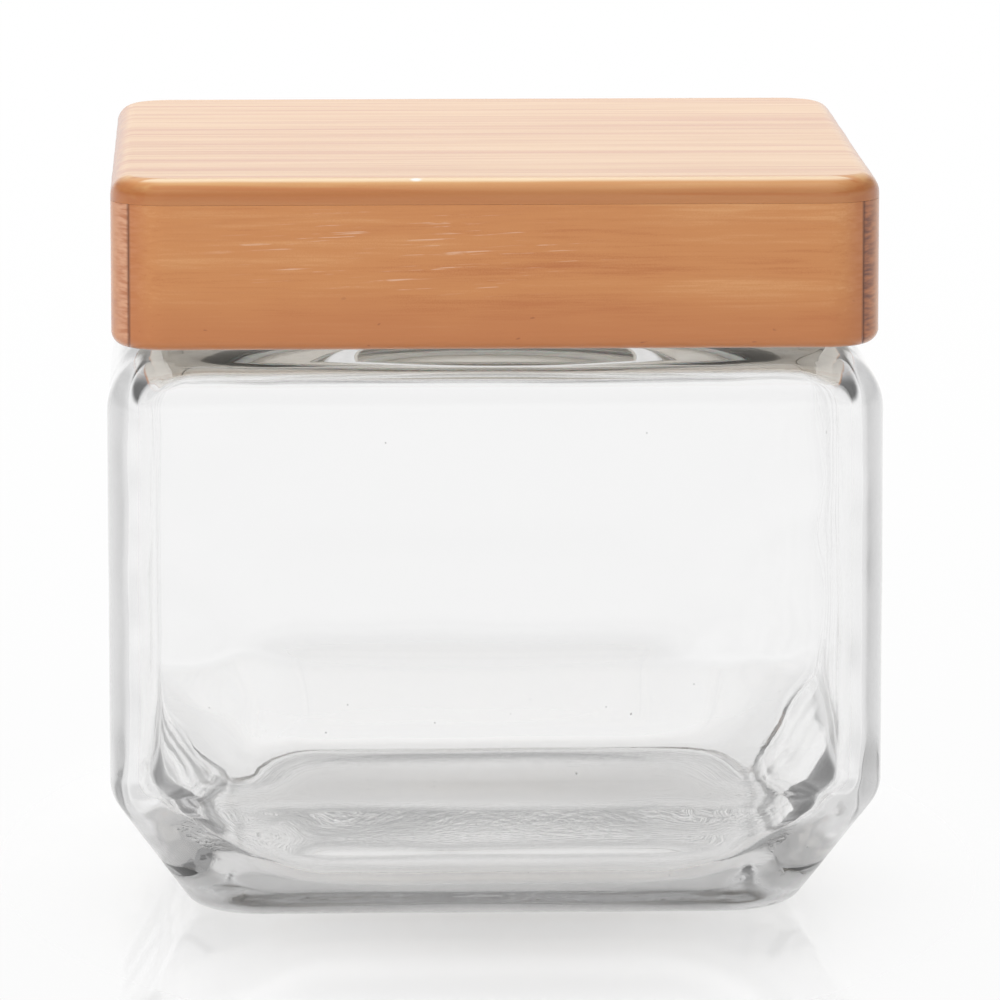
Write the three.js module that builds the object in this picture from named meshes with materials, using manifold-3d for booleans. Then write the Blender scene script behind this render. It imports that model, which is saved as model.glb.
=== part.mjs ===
// A square glass candy jar with a wooden box lid.
// Millimetres, +Z up, the front of the jar faces -Y.
// The origin is the middle of the foot, on the surface that the jar stands on.

import * as THREE from 'three';
import { mergeVertices } from 'three/addons/utils/BufferGeometryUtils.js';
import Module from 'manifold-3d';

const wasm = await Module();
wasm.setup();

// Jar: outer body
const jarWidth = 128;
const jarCornerRadius = 7.5;
const shoulderHeight = 96.6;
const shoulderRadius = 10;
const shoulderCornerRadius = 16;
const wall = 4.4;
const ceilingThickness = 4;
const innerShoulderRadius = 9;
const cavityCornerRadius = 4.5;

// Jar: foot and floor
const footHeight = 22.5;
const footInset = 14.1;
const footCornerRadius = 10;
const footEdgeRadius = 4;
const slantEdgeRadius = 1.8;
const slantFillet = 24;
const floorThickness = 6;
const floorFillet = 16;
const floorCornerRadius = 28;
const puntRadius = 32;
const puntDepth = 2.2;

// Jar: neck
const neckHeight = 15;
const neckWall = 4;
const neckFillet = 2.5;
const rimRadius = 1.5;

// Lid: boards
const lidSetback = 0.7;
const lidCornerRadius = 11;
const boardThickness = 9;
const tongueThickness = 3;
const topPanelThickness = 4;
const topEdgeRadius = 3.4;
const lowerEdgeRadius = 1.6;
const innerBoardThickness = 9.4;

// Lid: plug and seal
const plugThickness = 9;
const plugEdgeRadius = 1.2;
const grooveDepth = 3;
const grooveHeight = 4;
const finThickness = 1;

// Clearances
const lidGap = 0.6;
const seatGap = 0.3;
const glueLine = 0.2;
const neckClearance = 4.5;
const plugClearance = 3;
const sealGap = 0.3;

// Fineness of the round forms: how far a chord may stray from its arc, and the number of
// facets along a side of the jar and round a turned piece
const chordError = 0.15;
const sideSteps = 10;
const turnedSegments = 48;

// Places worked out from the sizes
const jarHalf = jarWidth / 2;
const lidHalf = jarHalf - lidSetback;
const lidInnerHalf = lidHalf - boardThickness;
const neckRadius = lidInnerHalf - neckClearance;
const boreRadius = neckRadius - neckWall;
const rimHeight = shoulderHeight + neckHeight;
const lidBottom = shoulderHeight + lidGap;
const innerBoardBottom = rimHeight + seatGap;
const frameTop = innerBoardBottom + innerBoardThickness;
const topPanelBottom = frameTop + glueLine;
const lidTop = topPanelBottom + topPanelThickness;
const plugTop = innerBoardBottom - glueLine;
const plugBottom = plugTop - plugThickness;
const plugRadius = boreRadius - plugClearance;

// A level section of the jar or the lid is a rounded square. When its corner radius
// reaches its half width it is a circle, so one form gives both the body and the neck.
function section(halfWidth, cornerRadius, z) {
  const radius = THREE.MathUtils.clamp(cornerRadius, 0, halfWidth);
  return { halfWidth, cornerRadius: radius, z };
}

function reach({ halfWidth, cornerRadius }, angle) {
  const along = Math.max(Math.abs(Math.cos(angle)), Math.abs(Math.sin(angle)));
  const across = Math.min(Math.abs(Math.cos(angle)), Math.abs(Math.sin(angle)));
  const straight = halfWidth - cornerRadius;
  if (halfWidth * across <= straight * along) {
    return halfWidth / along;
  }
  const middle = straight * (along + across);
  return middle + Math.sqrt(middle ** 2 - 2 * straight ** 2 + cornerRadius ** 2);
}

// The number of chords that an arc needs.
function chords(radius, sweep) {
  const widest = 2 * Math.acos(1 - Math.min(chordError / radius, 1));
  return Math.max(2, Math.ceil(Math.abs(sweep) / widest));
}

// The directions in which the sections are cut: even steps along each side, and even
// steps round each corner arc of the widest section.
function directions(halfWidth, cornerRadius, stepsAlongSide) {
  const straight = halfWidth - cornerRadius;
  const sideEnd = Math.atan2(straight, halfWidth);
  const cornerSteps = chords(cornerRadius, Math.PI / 2);
  const angles = [];
  for (let quarter = 0; quarter < 4; quarter += 1) {
    const turn = quarter * Math.PI / 2;
    for (let step = 0; step < stepsAlongSide; step += 1) {
      angles.push(turn - sideEnd + 2 * sideEnd * step / stepsAlongSide);
    }
    for (let step = 0; step < cornerSteps; step += 1) {
      const swing = Math.PI / 2 * step / cornerSteps;
      const x = straight + cornerRadius * Math.cos(swing);
      const y = straight + cornerRadius * Math.sin(swing);
      angles.push(turn + Math.atan2(y, x));
    }
  }
  return angles;
}

// A lathe form whose rings are pushed out to rounded squares. The sections run from a
// point on the axis, round the outside, to a point on the axis.
function squareLathe(sections, angles) {
  const profile = sections.map(({ halfWidth, z }) => new THREE.Vector2(halfWidth, z));
  const geometry = new THREE.LatheGeometry(profile, angles.length);
  const position = geometry.attributes.position;
  for (let index = 0; index < position.count; index += 1) {
    const angle = angles[Math.floor(index / sections.length) % angles.length];
    const cut = sections[index % sections.length];
    const distance = reach(cut, angle);
    position.setXYZ(index, distance * Math.cos(angle), distance * Math.sin(angle), cut.z);
  }
  return faceOutwards(geometry);
}

// Only the positions are kept, so that the rings close, and the faces point out.
function faceOutwards(geometry) {
  geometry.deleteAttribute('normal');
  geometry.deleteAttribute('uv');
  const merged = mergeVertices(geometry);
  if (signedVolume(merged) < 0) {
    const index = merged.index.array;
    for (let i = 0; i < index.length; i += 3) {
      [index[i + 1], index[i + 2]] = [index[i + 2], index[i + 1]];
    }
  }
  merged.computeVertexNormals();
  return merged;
}

function signedVolume(geometry) {
  const corners = [0, 1, 2].map(() => new THREE.Vector3());
  const index = geometry.index.array;
  let total = 0;
  for (let i = 0; i < index.length; i += 3) {
    corners.forEach((corner, k) => corner.fromBufferAttribute(geometry.attributes.position, index[i + k]));
    total += corners[0].dot(corners[1].cross(corners[2]));
  }
  return total;
}

// A round form turned about Z, from a profile of [radius, z] points.
function turned(points) {
  const profile = points.map(([radius, z]) => new THREE.Vector2(radius, z));
  const geometry = new THREE.LatheGeometry(profile, turnedSegments);
  geometry.rotateX(Math.PI / 2);
  return faceOutwards(geometry);
}

// Points on an arc of a profile, from one angle to another.
function arc(centreOut, centreUp, radius, from, to) {
  const points = [];
  const steps = chords(radius, to - from);
  for (let step = 0; step <= steps; step += 1) {
    const swing = THREE.MathUtils.lerp(from, to, step / steps);
    points.push([centreOut + radius * Math.cos(swing), centreUp + radius * Math.sin(swing)]);
  }
  return points;
}

// Points of a fillet that rounds the corner of a profile at `at`, on the way from
// `before` to `after`.
function rounded(before, at, after, radius) {
  const corner = new THREE.Vector2(...at);
  const back = new THREE.Vector2(...before).sub(corner).normalize();
  const ahead = new THREE.Vector2(...after).sub(corner).normalize();
  const halfAngle = Math.acos(THREE.MathUtils.clamp(back.dot(ahead), -1, 1)) / 2;
  const toMiddle = back.clone().add(ahead).normalize().multiplyScalar(radius / Math.sin(halfAngle));
  const middle = corner.clone().add(toMiddle);
  const start = back.clone().multiplyScalar(radius / Math.tan(halfAngle)).sub(toMiddle);
  const end = ahead.clone().multiplyScalar(radius / Math.tan(halfAngle)).sub(toMiddle);
  const sweep = Math.atan2(start.cross(end), start.dot(end));
  return arc(middle.x, middle.y, radius, start.angle(), start.angle() + sweep);
}

// Jar

// The corner radius of the jar's sections goes from `low` to `high` along the foot. Where the
// wall rolls in, `roll` below `top`, the corners open out towards the round neck.
function jarCorner(up, low, high, top, roll) {
  const alongFoot = THREE.MathUtils.clamp(up / footHeight, 0, 1);
  const plain = THREE.MathUtils.lerp(low, high, alongFoot);
  const alongRoll = THREE.MathUtils.clamp((up - top + roll) / roll, 0, 1);
  return THREE.MathUtils.lerp(plain, shoulderCornerRadius, alongRoll ** 2);
}

function glassJar() {
  const neckRoot = neckRadius + neckFillet;
  const roll = Math.min(shoulderRadius, jarHalf - neckRoot - rimRadius);
  const innerHalf = jarHalf - wall;
  const ceiling = shoulderHeight - ceilingThickness;
  const boreRoot = boreRadius + neckFillet;
  const innerRoll = Math.min(innerShoulderRadius, innerHalf - boreRoot - rimRadius);
  const footHalf = jarHalf - footInset;

  // The slanted wall inside runs beside the slanted band outside.
  const slope = Math.atan2(footInset, footHeight);
  const slantTop = footHeight + wall * Math.tan(slope / 2);
  const slantFloorHalf = innerHalf - (slantTop - floorThickness) * Math.tan(slope);

  const outside = [
    ...rounded([0, 0], [footHalf, 0], [jarHalf, footHeight], footEdgeRadius),
    ...rounded([footHalf, 0], [jarHalf, footHeight], [jarHalf, shoulderHeight], slantEdgeRadius),
    ...arc(jarHalf - roll, shoulderHeight - roll, roll, 0, Math.PI / 2),
  ].map(([out, up]) => {
    const corner = jarCorner(up, footCornerRadius, jarCornerRadius, shoulderHeight, roll);
    return section(out, corner, up);
  });

  const inside = [
    ...arc(innerHalf - innerRoll, ceiling - innerRoll, innerRoll, Math.PI / 2, 0),
    ...rounded([innerHalf, ceiling], [innerHalf, slantTop], [slantFloorHalf, floorThickness], slantFillet),
    ...rounded([innerHalf, slantTop], [slantFloorHalf, floorThickness], [0, floorThickness], floorFillet),
  ].map(([out, up]) => {
    const corner = jarCorner(up, floorCornerRadius, cavityCornerRadius, ceiling, innerRoll);
    return section(out, corner, up);
  });

  const neck = [
    ...arc(neckRoot, shoulderHeight + neckFillet, neckFillet, -Math.PI / 2, -Math.PI),
    ...arc(neckRadius - rimRadius, rimHeight - rimRadius, rimRadius, 0, Math.PI / 2),
    ...arc(boreRadius + rimRadius, rimHeight - rimRadius, rimRadius, Math.PI / 2, Math.PI),
    ...arc(boreRoot, ceiling + neckFillet, neckFillet, Math.PI, Math.PI * 1.5),
  ].map(([out, up]) => section(out, out, up));

  // The punt is a shallow dome pressed up into the foot.
  const puntSphere = (puntRadius ** 2 + puntDepth ** 2) / (2 * puntDepth);
  const puntSwing = Math.asin(puntRadius / puntSphere);
  const punt = arc(0, puntDepth - puntSphere, puntSphere, Math.PI / 2, Math.PI / 2 - puntSwing)
    .map(([out, up]) => section(out, out, up));
  punt[0] = section(0, 0, puntDepth);
  punt[punt.length - 1] = section(puntRadius, puntRadius, 0);

  const sections = [...punt, ...outside, ...neck, ...inside, section(0, 0, floorThickness)];
  return squareLathe(sections, directions(jarHalf, jarCornerRadius, sideSteps));
}

// Lid boards

function solid(geometry) {
  const closed = faceOutwards(geometry);
  return new wasm.Manifold(new wasm.Mesh({
    numProp: 3,
    vertProperties: new Float32Array(closed.attributes.position.array),
    triVerts: new Uint32Array(closed.index.array),
  }));
}

function geometryOf(manifold) {
  const { vertProperties, triVerts } = manifold.getMesh();
  const geometry = new THREE.BufferGeometry();
  geometry.setAttribute('position', new THREE.Float32BufferAttribute(vertProperties, 3));
  geometry.setIndex(new THREE.Uint32BufferAttribute(triVerts, 1));
  geometry.computeVertexNormals();
  return geometry;
}

// The whole lid's outer form: rounded corners, an eased lower edge and a rounded-over top.
// Every board is cut to it, so their faces run into each other.
function lidForm() {
  const edges = [
    ...arc(lidHalf - lowerEdgeRadius, lidBottom + lowerEdgeRadius, lowerEdgeRadius, -Math.PI / 2, 0),
    ...arc(lidHalf - topEdgeRadius, lidTop - topEdgeRadius, topEdgeRadius, 0, Math.PI / 2),
  ].map(([out, up]) => section(out, lidCornerRadius - (lidHalf - out), up));
  const sections = [section(0, 0, lidBottom), ...edges, section(0, 0, lidTop)];
  return solid(squareLathe(sections, directions(lidHalf, lidCornerRadius, 1)));
}

function block(left, right, front, rear, bottom, top) {
  const geometry = new THREE.BoxGeometry(right - left, rear - front, top - bottom);
  return geometry.translate((left + right) / 2, (front + rear) / 2, (bottom + top) / 2);
}

function board(outline) {
  const shape = new THREE.Shape(outline.map(([x, y]) => new THREE.Vector2(x, y)));
  const geometry = new THREE.ExtrudeGeometry(shape, { depth: frameTop - lidBottom, bevelEnabled: false });
  geometry.translate(0, 0, lidBottom);
  return geometryOf(solid(geometry).intersect(lidForm()));
}

// A cross board is square at its ends and stops at the side boards' tongues.
// `facing` is -1 for the front board and 1 for the rear one.
function crossBoard(facing) {
  const end = lidHalf - tongueThickness - glueLine;
  const outer = facing * jarHalf;
  const inner = facing * lidInnerHalf;
  return board([[-end, inner], [end, inner], [end, outer], [-end, outer]]);
}

// A side board has a rabbet at each end that takes a cross board's end, so a thin tongue
// shows at the front and the rear. `facing` is -1 for the left board and 1 for the right.
function sideBoard(facing) {
  const outer = facing * jarHalf;
  const inner = facing * lidInnerHalf;
  const tongue = facing * (lidHalf - tongueThickness);
  const shoulder = lidInnerHalf - glueLine;
  return board([
    [outer, -jarHalf], [tongue, -jarHalf], [tongue, -shoulder], [inner, -shoulder],
    [inner, shoulder], [tongue, shoulder], [tongue, jarHalf], [outer, jarHalf],
  ]);
}

function topPanel() {
  const slab = block(-jarHalf, jarHalf, -jarHalf, jarHalf, topPanelBottom, lidTop + topPanelThickness);
  return geometryOf(solid(slab).intersect(lidForm()));
}

function innerBoard() {
  const half = lidInnerHalf - glueLine;
  return block(-half, half, -half, half, innerBoardBottom, frameTop);
}

// Plug and seal

const grooveMiddle = (plugTop + plugBottom) / 2;
const grooveRadius = plugRadius - grooveDepth;

function plugDisc() {
  return turned([
    [0, plugBottom],
    ...arc(plugRadius - plugEdgeRadius, plugBottom + plugEdgeRadius, plugEdgeRadius, -Math.PI / 2, 0),
    [plugRadius, grooveMiddle - grooveHeight / 2],
    [grooveRadius, grooveMiddle - grooveHeight / 2],
    [grooveRadius, grooveMiddle + grooveHeight / 2],
    [plugRadius, grooveMiddle + grooveHeight / 2],
    [plugRadius, plugTop],
    [0, plugTop],
  ]);
}

// The seal's back fills the groove, and a fin at its top and its bottom reaches the bore.
function sealRing() {
  const back = grooveRadius + sealGap;
  const face = plugRadius;
  const tip = boreRadius - sealGap;
  const low = grooveMiddle - grooveHeight / 2 + sealGap;
  const high = grooveMiddle + grooveHeight / 2 - sealGap;
  return turned([
    [back, low], [tip, low], [tip, low + finThickness], [face, low + finThickness],
    [face, high - finThickness], [tip, high - finThickness], [tip, high], [back, high],
    [back, low],
  ]);
}

// Assembly

function finish(color, roughness, extra = {}) {
  return new THREE.MeshStandardMaterial({ color, roughness, metalness: 0, ...extra });
}

function piece(name, geometry, material) {
  const mesh = new THREE.Mesh(geometry, material);
  mesh.name = name;
  return mesh;
}

const glass = () => finish(0xe9ebea, 0.04, { transparent: true, opacity: 0.35 });
const pine = (color) => finish(color, 0.35);
const silicone = () => finish(0xe4e4e0, 0.55);

const lid = new THREE.Group();
lid.add(
  piece('lid_top_panel', topPanel(), pine(0xe8b78a)),
  piece('lid_front_board', crossBoard(-1), pine(0xc88c61)),
  piece('lid_rear_board', crossBoard(1), pine(0xc88c61)),
  piece('lid_left_board', sideBoard(-1), pine(0xbd8560)),
  piece('lid_right_board', sideBoard(1), pine(0xb67d5c)),
  piece('lid_inner_board', innerBoard(), pine(0xd9ac80)),
  piece('lid_plug_disc', plugDisc(), pine(0xd6a67a)),
);

const jar = new THREE.Group();
jar.add(piece('glass_jar', glassJar(), glass()), lid, piece('seal_ring', sealRing(), silicone()));

export default jar;
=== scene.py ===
# %% [markdown]
# # A square candy jar with a wooden box lid
#
# The jar is one piece of clear pressed glass: four flat walls, a rolled shoulder, a slanted band round
# the foot and a round neck. The lid is a shallow box glued up from pine boards, with a turned plug and
# a soft ring under it that close the mouth. This notebook dresses the plain solids of that jar: each
# cell makes one piece or one finish, in metres, in the same place as the solid that it stands for.

# %% Load the plain solids
import math

import bmesh
import bpy
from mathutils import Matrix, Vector, noise


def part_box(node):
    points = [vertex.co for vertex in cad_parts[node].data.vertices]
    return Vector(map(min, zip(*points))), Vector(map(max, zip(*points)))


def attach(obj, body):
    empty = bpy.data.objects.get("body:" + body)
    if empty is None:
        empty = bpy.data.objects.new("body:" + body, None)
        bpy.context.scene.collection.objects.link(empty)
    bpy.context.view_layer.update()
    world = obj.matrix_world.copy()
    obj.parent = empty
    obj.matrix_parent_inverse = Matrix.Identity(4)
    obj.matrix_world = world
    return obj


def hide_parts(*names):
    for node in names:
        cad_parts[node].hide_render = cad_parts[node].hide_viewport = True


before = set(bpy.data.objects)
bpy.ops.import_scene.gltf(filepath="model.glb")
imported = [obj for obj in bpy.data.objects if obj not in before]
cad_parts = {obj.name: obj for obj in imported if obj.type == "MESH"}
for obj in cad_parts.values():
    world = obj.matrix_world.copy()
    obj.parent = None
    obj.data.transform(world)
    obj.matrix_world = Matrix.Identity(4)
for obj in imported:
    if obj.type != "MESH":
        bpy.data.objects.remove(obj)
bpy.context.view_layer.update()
print("plain solids:", sorted(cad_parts))

# %% [markdown]
# ## Sizes
#
# The boxes of the solids give every place that another piece has to meet, so nothing is typed twice.
# What a box can't tell, such as how far an edge is rounded, is a named size in the cell that needs it.

# %% Read the sizes
MM = 0.001
SEAL_GAP = 0.3 * MM
LID_GAP = 0.6 * MM

jar_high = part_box("glass_jar")[1]
front_low, front_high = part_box("lid_front_board")
rest_low, rest_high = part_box("lid_inner_board")
plug_low, plug_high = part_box("lid_plug_disc")
seal_low, seal_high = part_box("seal_ring")

JAR_HALF = jar_high.x
RIM = jar_high.z
LID_HALF = -front_low.y
LID_BOTTOM = front_low.z
FRAME_TOP = front_high.z
LID_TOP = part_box("lid_top_panel")[1].z
BORE = seal_high.x + SEAL_GAP
SHOULDER = LID_BOTTOM - LID_GAP
print(f"jar {2 * JAR_HALF / MM:.1f} mm wide, shoulder at {SHOULDER / MM:.1f} mm")
print(f"lid from {LID_BOTTOM / MM:.1f} to {LID_TOP / MM:.1f} mm")

# %% [markdown]
# ## A small language for nodes
#
# A node tree is easier to read as arithmetic than as boxes and links. `Wire` holds one output socket.
# Adding or multiplying two wires, or a wire and a number, adds the Math node that does it, and `add`
# puts in any other node. The same class serves shaders, the world and Geometry Nodes.

# %% Define the wire


class Wire:
    """One output of a node in a tree. Arithmetic on wires adds Math nodes."""

    def __init__(self, tree, socket=None):
        self.tree = tree
        self.socket = socket

    def add(self, kind, inputs=None, out=0, **settings):
        """Adds a node: its settings first, then the values or wires of its inputs."""
        node = self.tree.nodes.new(kind)
        for name, value in settings.items():
            setattr(node, name, value)
        for name, value in (inputs or {}).items():
            if isinstance(value, Wire):
                self.tree.links.new(value.socket, node.inputs[name])
            else:
                node.inputs[name].default_value = value
        return Wire(self.tree, node.outputs[out]) if len(node.outputs) else node

    def other(self, output):
        """Another output of the node that this wire leaves."""
        return Wire(self.tree, self.socket.node.outputs[output])

    def math(self, operation, *values):
        return self.add("ShaderNodeMath", dict(enumerate(values)), operation=operation)

    def __add__(self, other):
        return self.math("ADD", self, other)

    def __radd__(self, other):
        return self.math("ADD", other, self)

    def __sub__(self, other):
        return self.math("SUBTRACT", self, other)

    def __rsub__(self, other):
        return self.math("SUBTRACT", other, self)

    def __mul__(self, other):
        return self.math("MULTIPLY", self, other)

    def __rmul__(self, other):
        return self.math("MULTIPLY", other, self)

    def __truediv__(self, other):
        return self.math("DIVIDE", self, other)

    def __lt__(self, other):
        return self.math("LESS_THAN", self, other)

    def __gt__(self, other):
        return self.math("GREATER_THAN", self, other)

    def __abs__(self):
        return self.math("ABSOLUTE", self)

    def rise(self, start, end):
        """0 below start, 1 above end, and a smooth step between."""
        inputs = {"Value": self, "From Min": start, "From Max": end}
        return self.add("ShaderNodeMapRange", inputs, interpolation_type="SMOOTHSTEP")

    def blend(self, first, second):
        """A colour that goes from first to second as this wire goes from 0 to 1."""
        colours = {0: self, 6: first, 7: second}
        return self.add("ShaderNodeMix", colours, out=2, data_type="RGBA")

    def vector(self, operation, *values, out=0):
        """Vector Math on this wire and other vectors."""
        inputs = dict(enumerate((self, *values)))
        return self.add("ShaderNodeVectorMath", inputs, out, operation=operation)

    def length(self):
        return self.vector("LENGTH", out="Value")

    def stretch(self, factors):
        """A vector wire times three factors."""
        return self.vector("MULTIPLY", factors)

    def scaled(self, factor):
        """A vector wire times one factor."""
        return self.add("ShaderNodeVectorMath", {0: self, "Scale": factor}, operation="SCALE")

    def near(self, middle, size):
        """1 at a place, falling softly to 0 at the edge of an egg of this size round it."""
        return 1 - self.vector("SUBTRACT", middle).vector("DIVIDE", size).length().rise(0.3, 1)

    def part(self, axis):
        """The X, Y or Z part of a vector wire."""
        return self.add("ShaderNodeSeparateXYZ", {"Vector": self}, out=axis)

    def noise(self, scale, detail=2.0, seed=0.0, rough=0.5):
        """Noise from 0 to 1 over a vector wire."""
        inputs = {"Vector": self, "W": seed, "Scale": scale, "Detail": detail, "Roughness": rough}
        return self.add("ShaderNodeTexNoise", inputs, noise_dimensions="4D")


print("wires ready")

# %% [markdown]
# Every finish starts from an empty material. Colours are written as a painter's chart gives them, from 0
# to 255, and turned into the straight light values that the sockets take. Greys that only say how much
# light passes are written as that share.

# %% Start materials and mix colours


def new_material(name):
    """An empty material and the wire that starts its tree."""
    material = bpy.data.materials.new(name)
    material.use_nodes = True
    material.node_tree.nodes.clear()
    return material, Wire(material.node_tree)


def tone(red, green, blue):
    """A colour from a painter's chart."""
    def straight(value):
        share = value / 255
        return share / 12.92 if share <= 0.04045 else ((share + 0.055) / 1.055) ** 2.4
    return (straight(red), straight(green), straight(blue), 1.0)


def grey(share):
    """A grey that gives on this share of the light."""
    return (share, share, share, 1.0)


WHITE = grey(1.0)
print("white is", WHITE)

# %% [markdown]
# ## Clear glass
#
# Pressed glass is a clear solid: light bends where it enters and leaves, and a little of it is lost on
# the way, so thick places look greyer. A Glass shader could bend it. Principled with full transmission
# does the same and can be exported, and a faint absorption inside the solid loses the light.
#
# Glass traced to the end throws a hard dark shadow, and it goes black where light was mirrored too many
# times to be followed. So rays on their way to a lamp, rays that matt things scatter and rays that are
# tired of being mirrored meet a Transparent shader instead and go straight on. The foot's underside is
# pebbled, as moulded glass is where it stands, the inner floor has a fine grain, and all of the skin
# ripples faintly.

# %% Make the clear glass
GLASS_INDEX = 1.5
PEBBLED_BELOW = 4 * MM
GRAINED_BELOW = 13 * MM
TIRED_AFTER = 2.5


def glass_relief(place, upward):
    """The height of the glass's fine relief."""
    height = place.part("Z")
    underside = (upward < -0.9) * (height < PEBBLED_BELOW)
    inner_floor = (0.6 < upward) * (height < GRAINED_BELOW)
    pebbles = place.noise(1300, detail=2.0, seed=3)
    grain = place.stretch((0.7, 1, 1)).noise(750, detail=3.0, seed=6)
    ripples = place.stretch((1, 1, 0.35)).noise(130, detail=1.0, seed=8)
    return pebbles * underside + 1.1 * grain * inner_floor + 0.06 * ripples


def clear_glass():
    material, start = new_material("clear_glass")
    place = start.add("ShaderNodeTexCoord", out="Object")
    upward = start.add("ShaderNodeNewGeometry", out="Normal").part("Z")
    relief = glass_relief(place, upward)
    bump = start.add("ShaderNodeBump", {"Strength": 0.35, "Distance": 0.4 * MM, "Height": relief})
    bending = start.add("ShaderNodeBsdfPrincipled", {
        "Base Color": grey(0.992),
        "Roughness": 0.0,
        "IOR": GLASS_INDEX,
        "Transmission Weight": 1.0,
        "Normal": bump,
    })
    passing = start.add("ShaderNodeBsdfTransparent", {"Color": grey(0.97)})
    shadow = start.add("ShaderNodeLightPath", out="Is Shadow Ray")
    scattered = shadow.other("Is Diffuse Ray")
    tired = TIRED_AFTER < shadow.other("Glossy Depth")
    straight_on = start.math("MAXIMUM", start.math("MAXIMUM", shadow, scattered), tired)
    surface = start.add("ShaderNodeMixShader", {0: straight_on, 1: bending, 2: passing})
    inside = start.add("ShaderNodeVolumeAbsorption", {"Color": grey(0.5), "Density": 16.0})
    start.add("ShaderNodeOutputMaterial", {"Surface": surface, "Volume": inside})
    return material


CLEAR_GLASS = clear_glass()
print("made", CLEAR_GLASS.name)

# %% [markdown]
# ## Profiles
#
# The jar, the plug and the ring are all drawn as a profile first: a line seen from the side, given as
# points [out, up]. Their soft edges are arcs, so two helpers make them: one gives the points of an arc,
# and one rounds off a corner between two straight stretches.

# %% Draw arcs and fillets


def arc(out, up, radius, start, end, step=math.radians(6)):
    """Points [out, up] on an arc of a profile."""
    count = max(2, math.ceil(abs(end - start) / step))
    swings = [start + (end - start) * i / count for i in range(count + 1)]
    return [(out + radius * math.cos(a), up + radius * math.sin(a)) for a in swings]


def rounded(before, at, after, radius):
    """Points of a fillet in the corner `at` of a profile."""
    corner = Vector(at)
    back = (Vector(before) - corner).normalized()
    ahead = (Vector(after) - corner).normalized()
    half = back.angle(ahead) / 2
    middle = corner + (back + ahead).normalized() * (radius / math.sin(half))
    start = corner + back * (radius / math.tan(half)) - middle
    end = corner + ahead * (radius / math.tan(half)) - middle
    first = math.atan2(start.y, start.x)
    sweep = math.atan2(start.x * end.y - start.y * end.x, start.dot(end))
    return arc(middle.x, middle.y, radius, first, first + sweep)


def closer(points, spacing):
    """The same profile with points no further apart than spacing."""
    result = [points[0]]
    for here, there in zip(points, points[1:]):
        count = max(1, math.ceil(math.dist(here, there) / spacing))
        for i in range(1, count + 1):
            result.append(tuple(a + (b - a) * i / count for a, b in zip(here, there)))
    return result


def held(value):
    """A value held between 0 and 1."""
    return min(max(value, 0), 1)


QUARTER = math.pi / 2
print("a quarter turn of 1 mm radius has", len(arc(0, 0, MM, 0, QUARTER)), "points")

# %% [markdown]
# ## The jar's cuts
#
# Each level cut through the jar is a rounded square: a half width and a corner radius. At the neck the
# corner radius has grown to the half width, which is a circle. So the whole jar, outside and inside,
# is one list of cuts. It could be modelled as a box with bevels, but the corner of this jar changes all
# the way up, and a list of cuts says that directly.
#
# Inside the foot the wall isn't as straight as outside: the plunger left a soft bulge in the middle of
# each side, which fades out towards the corners.

# %% Size the glass
WALL = 4.4 * MM
CORNER = 7.5 * MM
CAVITY_CORNER = 4.5 * MM
SHOULDER_ROLL = 10 * MM
SHOULDER_CORNER = 12 * MM
INNER_ROLL = SHOULDER_ROLL - WALL
FOOT_HEIGHT = 22.5 * MM
FOOT_HALF = JAR_HALF - 14.1 * MM
FOOT_CORNER = 10 * MM
FOOT_EDGE = 6 * MM
SLANT_EDGE = 9 * MM
SLANT_FILLET = 12 * MM
SLANT_RISE = 4.5 * MM
SLANT_END_FILLET = 4.6 * MM
FLOOR = 6 * MM
FLOOR_FILLET = 16 * MM
FLOOR_CORNER = 28 * MM
PUNT = 32 * MM
PUNT_DEPTH = 2.2 * MM
NECK = BORE + 4 * MM
NECK_FILLET = 2.5 * MM
NECK_EDGE = 1.5 * MM

INNER_HALF = JAR_HALF - WALL
CEILING = SHOULDER - WALL
SLOPE = math.atan2(JAR_HALF - FOOT_HALF, FOOT_HEIGHT)
SLANT_TOP = FOOT_HEIGHT + WALL * math.tan(SLOPE / 2)
SLANT_FLOOR = INNER_HALF - (SLANT_TOP - FLOOR) * math.tan(SLOPE)
print(f"the foot slants in by {math.degrees(SLOPE):.0f} degrees")

# %% [markdown]
# The skin of pressed glass is never flat. It waves least where the mould was polished, and most low
# inside, where the glass was thickest and cooled last. Each cut carries its share of the waves.

# %% List the cuts
OUTSIDE_STEP = 3 * MM
INSIDE_STEP = 1.5 * MM
NECK_STEP = QUARTER / 6
PUNT_STEPS = 10
FLOOR_RINGS = (0.96, 0.92, 0.86, 0.8, 0.74, 0.68, 0.6, 0.52, 0.44, 0.36, 0.28, 0.2, 0.1)
PUNT_WAVES = 0.3
OUTSIDE_WAVES = 0.35
NECK_WAVES = 0.2
INSIDE_WAVES = 1.0
LOW_WAVES = 3.0
LOW_WAVES_END = 14 * MM
LOW_WAVES_FADE = 22 * MM
BULGE_START = 8 * MM


def cut_corner(up, low, high, top, roll, neckward):
    """The corner radius of a cut: from low to high along the foot, then opening towards the neck."""
    plain = low + (high - low) * held(up / FOOT_HEIGHT)
    along_roll = held((up - top + roll) / roll)
    return plain + (neckward - plain) * along_roll ** 2


def bend(up, slant_top, radius):
    """The half width inside the jar near the slant, where a fillet of this radius joins wall and slant."""
    middle = slant_top + radius * math.tan(SLOPE / 2)
    if up >= middle:
        return INNER_HALF
    if up <= middle - radius * math.sin(SLOPE):
        return INNER_HALF - (slant_top - up) * math.tan(SLOPE)
    return INNER_HALF - radius + math.sqrt(radius ** 2 - (middle - up) ** 2)


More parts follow.
